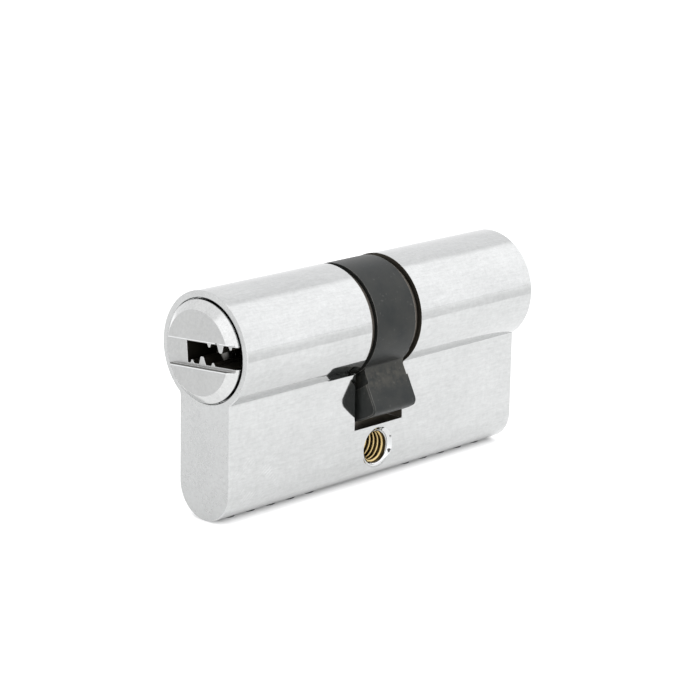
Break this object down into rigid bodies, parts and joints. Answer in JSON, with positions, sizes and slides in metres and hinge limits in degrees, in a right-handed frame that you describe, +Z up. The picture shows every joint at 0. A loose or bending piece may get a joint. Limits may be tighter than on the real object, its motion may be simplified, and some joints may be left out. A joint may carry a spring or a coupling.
{
  "type": "euro profile lock cylinder",
  "caption": "Euro profile double cylinder for a mortice lock: keyed plugs with sprung pin stacks turn a central cam through a sliding clutch.",
  "frame": {"origin": "centre of the foot of the leg, halfway along the cylinder and below the fixing screw hole", "axes": "+X along the cylinder from the outer key face to the inner key face, +Z up from the leg to the round, +Y across the leg, away from the side the cam's nose is turned to"},
  "size_m": [0.0628, 0.017, 0.033],
  "materials": {
    "plated_body": "satin chrome plating over brass",
    "plated_plug": "satin chrome plating over brass, turned face",
    "blackened_steel": "black oxide over sintered steel",
    "clip_steel": "brown phosphated spring steel",
    "clutch_steel": "bare sintered steel",
    "spring_steel": "drawn stainless wire",
    "plug_steel": "bare turned steel",
    "pin_brass": "turned brass",
    "nickel_silver": "turned nickel silver"
  },
  "bodies": {
    "body": {"housing": "plated_body", "outer_chamber_plugs": "plug_steel", "inner_chamber_plugs": "plug_steel", "outer_pin_spring_1": "spring_steel", "outer_pin_spring_2": "spring_steel", "outer_pin_spring_3": "spring_steel", "outer_pin_spring_4": "spring_steel", "outer_pin_spring_5": "spring_steel", "inner_pin_spring_1": "spring_steel", "inner_pin_spring_2": "spring_steel", "inner_pin_spring_3": "spring_steel", "inner_pin_spring_4": "spring_steel", "inner_pin_spring_5": "spring_steel"},
    "outer_plug": {"outer_plug": "plated_plug", "outer_clip": "clip_steel"},
    "inner_plug": {"inner_plug": "plated_plug", "inner_clip": "clip_steel"},
    "cam": {"cam": "blackened_steel"},
    "clutch": {"outer_clutch_dog": "clutch_steel", "inner_clutch_dog": "clutch_steel", "clutch_spring": "spring_steel"},
    "outer_key_pin_1": {"outer_key_pin_1": "nickel_silver"},
    "outer_driver_pin_1": {"outer_driver_pin_1": "pin_brass"},
    "outer_key_pin_2": {"outer_key_pin_2": "nickel_silver"},
    "outer_driver_pin_2": {"outer_driver_pin_2": "pin_brass"},
    "outer_key_pin_3": {"outer_key_pin_3": "nickel_silver"},
    "outer_driver_pin_3": {"outer_driver_pin_3": "pin_brass"},
    "outer_key_pin_4": {"outer_key_pin_4": "nickel_silver"},
    "outer_driver_pin_4": {"outer_driver_pin_4": "pin_brass"},
    "outer_key_pin_5": {"outer_key_pin_5": "nickel_silver"},
    "outer_driver_pin_5": {"outer_driver_pin_5": "pin_brass"},
    "inner_key_pin_1": {"inner_key_pin_1": "nickel_silver"},
    "inner_driver_pin_1": {"inner_driver_pin_1": "pin_brass"},
    "inner_key_pin_2": {"inner_key_pin_2": "nickel_silver"},
    "inner_driver_pin_2": {"inner_driver_pin_2": "pin_brass"},
    "inner_key_pin_3": {"inner_key_pin_3": "nickel_silver"},
    "inner_driver_pin_3": {"inner_driver_pin_3": "pin_brass"},
    "inner_key_pin_4": {"inner_key_pin_4": "nickel_silver"},
    "inner_driver_pin_4": {"inner_driver_pin_4": "pin_brass"},
    "inner_key_pin_5": {"inner_key_pin_5": "nickel_silver"},
    "inner_driver_pin_5": {"inner_driver_pin_5": "pin_brass"}
  },
  "joints": [
    {"name": "outer_plug_spin", "type": "hinge", "parent": "body", "child": "outer_plug", "pos_m": [0, 0, 0.0245], "axis": [1, 0, 0], "continuous": true},
    {"name": "inner_plug_spin", "type": "hinge", "parent": "body", "child": "inner_plug", "pos_m": [0, 0, 0.0245], "axis": [1, 0, 0], "continuous": true},
    {"name": "cam_spin", "type": "hinge", "parent": "body", "child": "cam", "pos_m": [0, 0, 0.0245], "axis": [1, 0, 0], "continuous": true},
    {"name": "clutch_slide", "type": "slide", "parent": "cam", "child": "clutch", "axis": [1, 0, 0], "range_m": [0, 0.0025]},
    {"name": "outer_key_pin_slide_1", "type": "slide", "parent": "outer_plug", "child": "outer_key_pin_1", "axis": [0, 0.0785, 0.9969], "range_m": [0, 0.0008]},
    {"name": "outer_driver_pin_slide_1", "type": "slide", "parent": "body", "child": "outer_driver_pin_1", "axis": [0, 0, 1], "range_m": [-0.0012, 0], "stiffness_N_per_m": 120, "springref_m": 0.004, "deforming": ["outer_pin_spring_1"]},
    {"name": "outer_key_pin_slide_2", "type": "slide", "parent": "outer_plug", "child": "outer_key_pin_2", "axis": [0, 0.0785, 0.9969], "range_m": [0, 0.0008]},
    {"name": "outer_driver_pin_slide_2", "type": "slide", "parent": "body", "child": "outer_driver_pin_2", "axis": [0, 0, 1], "range_m": [-0.0012, 0], "stiffness_N_per_m": 120, "springref_m": 0.004, "deforming": ["outer_pin_spring_2"]},
    {"name": "outer_key_pin_slide_3", "type": "slide", "parent": "outer_plug", "child": "outer_key_pin_3", "axis": [0, 0.0785, 0.9969], "range_m": [0, 0.0008]},
    {"name": "outer_driver_pin_slide_3", "type": "slide", "parent": "body", "child": "outer_driver_pin_3", "axis": [0, 0, 1], "range_m": [-0.0012, 0], "stiffness_N_per_m": 120, "springref_m": 0.004, "deforming": ["outer_pin_spring_3"]},
    {"name": "outer_key_pin_slide_4", "type": "slide", "parent": "outer_plug", "child": "outer_key_pin_4", "axis": [0, 0.0785, 0.9969], "range_m": [0, 0.0008]},
    {"name": "outer_driver_pin_slide_4", "type": "slide", "parent": "body", "child": "outer_driver_pin_4", "axis": [0, 0, 1], "range_m": [-0.0012, 0], "stiffness_N_per_m": 120, "springref_m": 0.004, "deforming": ["outer_pin_spring_4"]},
    {"name": "outer_key_pin_slide_5", "type": "slide", "parent": "outer_plug", "child": "outer_key_pin_5", "axis": [0, 0.0785, 0.9969], "range_m": [0, 0.0008]},
    {"name": "outer_driver_pin_slide_5", "type": "slide", "parent": "body", "child": "outer_driver_pin_5", "axis": [0, 0, 1], "range_m": [-0.0012, 0], "stiffness_N_per_m": 120, "springref_m": 0.004, "deforming": ["outer_pin_spring_5"]},
    {"name": "inner_key_pin_slide_1", "type": "slide", "parent": "inner_plug", "child": "inner_key_pin_1", "axis": [0, 0, 1], "range_m": [0, 0.0008]},
    {"name": "inner_driver_pin_slide_1", "type": "slide", "parent": "body", "child": "inner_driver_pin_1", "axis": [0, 0, 1], "range_m": [-0.0012, 0], "stiffness_N_per_m": 120, "springref_m": 0.004, "deforming": ["inner_pin_spring_1"]},
    {"name": "inner_key_pin_slide_2", "type": "slide", "parent": "inner_plug", "child": "inner_key_pin_2", "axis": [0, 0, 1], "range_m": [0, 0.0008]},
    {"name": "inner_driver_pin_slide_2", "type": "slide", "parent": "body", "child": "inner_driver_pin_2", "axis": [0, 0, 1], "range_m": [-0.0012, 0], "stiffness_N_per_m": 120, "springref_m": 0.004, "deforming": ["inner_pin_spring_2"]},
    {"name": "inner_key_pin_slide_3", "type": "slide", "parent": "inner_plug", "child": "inner_key_pin_3", "axis": [0, 0, 1], "range_m": [0, 0.0008]},
    {"name": "inner_driver_pin_slide_3", "type": "slide", "parent": "body", "child": "inner_driver_pin_3", "axis": [0, 0, 1], "range_m": [-0.0012, 0], "stiffness_N_per_m": 120, "springref_m": 0.004, "deforming": ["inner_pin_spring_3"]},
    {"name": "inner_key_pin_slide_4", "type": "slide", "parent": "inner_plug", "child": "inner_key_pin_4", "axis": [0, 0, 1], "range_m": [0, 0.0008]},
    {"name": "inner_driver_pin_slide_4", "type": "slide", "parent": "body", "child": "inner_driver_pin_4", "axis": [0, 0, 1], "range_m": [-0.0012, 0], "stiffness_N_per_m": 120, "springref_m": 0.004, "deforming": ["inner_pin_spring_4"]},
    {"name": "inner_key_pin_slide_5", "type": "slide", "parent": "inner_plug", "child": "inner_key_pin_5", "axis": [0, 0, 1], "range_m": [0, 0.0008]},
    {"name": "inner_driver_pin_slide_5", "type": "slide", "parent": "body", "child": "inner_driver_pin_5", "axis": [0, 0, 1], "range_m": [-0.0012, 0], "stiffness_N_per_m": 120, "springref_m": 0.004, "deforming": ["inner_pin_spring_5"]}
  ],
  "couplings": [
    {"joint": "cam_spin", "follows": "outer_plug_spin", "ratio": 1}
  ]
}
